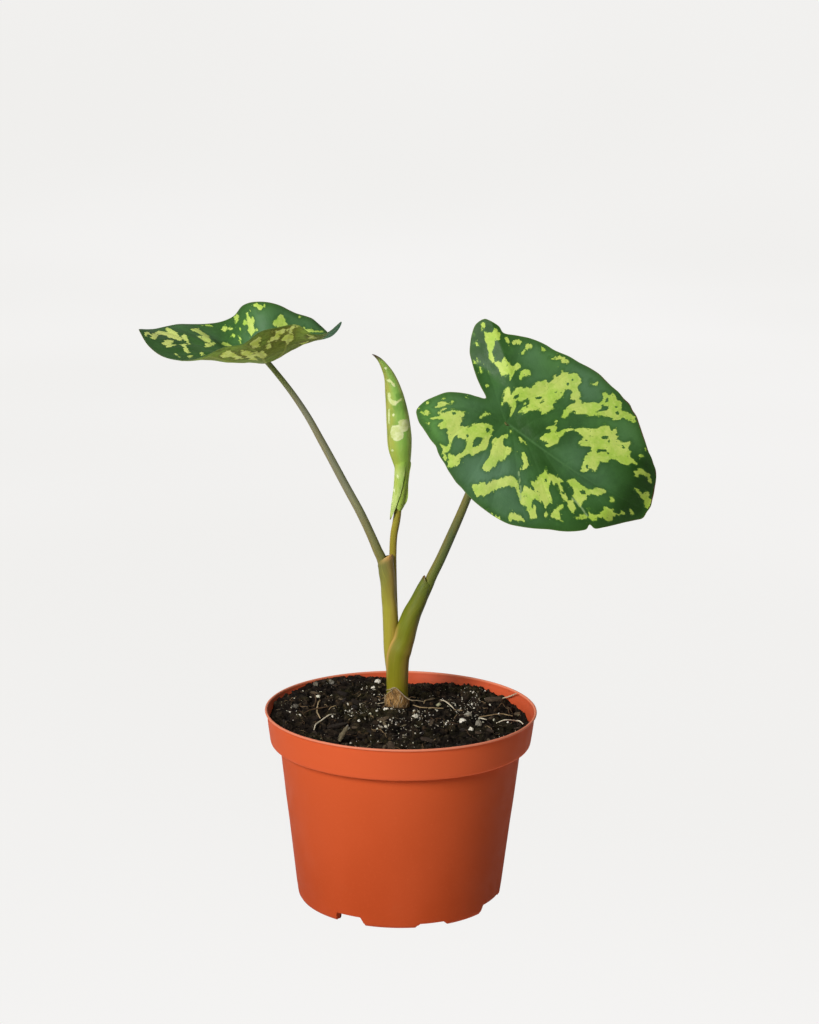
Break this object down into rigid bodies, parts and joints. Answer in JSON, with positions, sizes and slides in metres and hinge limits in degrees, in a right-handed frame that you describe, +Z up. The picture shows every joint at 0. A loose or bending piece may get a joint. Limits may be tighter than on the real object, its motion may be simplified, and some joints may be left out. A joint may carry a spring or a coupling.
{
  "type": "potted hilo beauty alocasia",
  "caption": "Potted aroid house plant: broad heart-shaped variegated leaves and a pale rolled new leaf on slender stalks, in a tapered terracotta-coloured nursery pot filled with dark soil.",
  "frame": {"origin": "centre of the pot's foot ring, on the surface the pot stands on", "axes": "+Z up; -Y towards the front, where the open upper face of the right leaf looks; +X to the viewer's right, towards the right leaf"},
  "size_m": [0.2863, 0.1524, 0.3334],
  "materials": {
    "pot_plastic": "satin moulded terracotta-coloured polypropylene",
    "soil": "moist dark peat and bark mix",
    "corm_skin": "brown fibrous skin",
    "dry_husk": "dry papery scale",
    "stalk_green": "smooth waxy green",
    "stalk_yellow": "smooth waxy yellow-olive",
    "leaf_blade": "satin dark green with yellow-green patches",
    "new_leaf": "satin pale green with cream patches",
    "root_fibre": "dry light fibre",
    "perlite": "rough white expanded grains",
    "bark": "rough grey-brown bark"
  },
  "bodies": {
    "root": {"pot": "pot_plastic", "potting_soil": "soil", "corm": "corm_skin", "husk": "dry_husk", "petiole_right": "stalk_green", "petiole_left": "stalk_yellow", "petiole_centre": "stalk_green", "blade_right": "leaf_blade", "blade_left": "leaf_blade", "furled_leaf": "new_leaf", "rootlet_1": "root_fibre", "rootlet_2": "root_fibre", "rootlet_3": "root_fibre", "rootlet_4": "root_fibre", "perlite_1": "perlite", "perlite_2": "perlite", "perlite_3": "perlite", "perlite_4": "perlite", "perlite_5": "perlite", "perlite_6": "perlite", "perlite_7": "perlite", "perlite_8": "perlite", "bark_chip_1": "bark", "bark_chip_2": "bark", "bark_chip_3": "bark"}
  },
  "joints": []
}
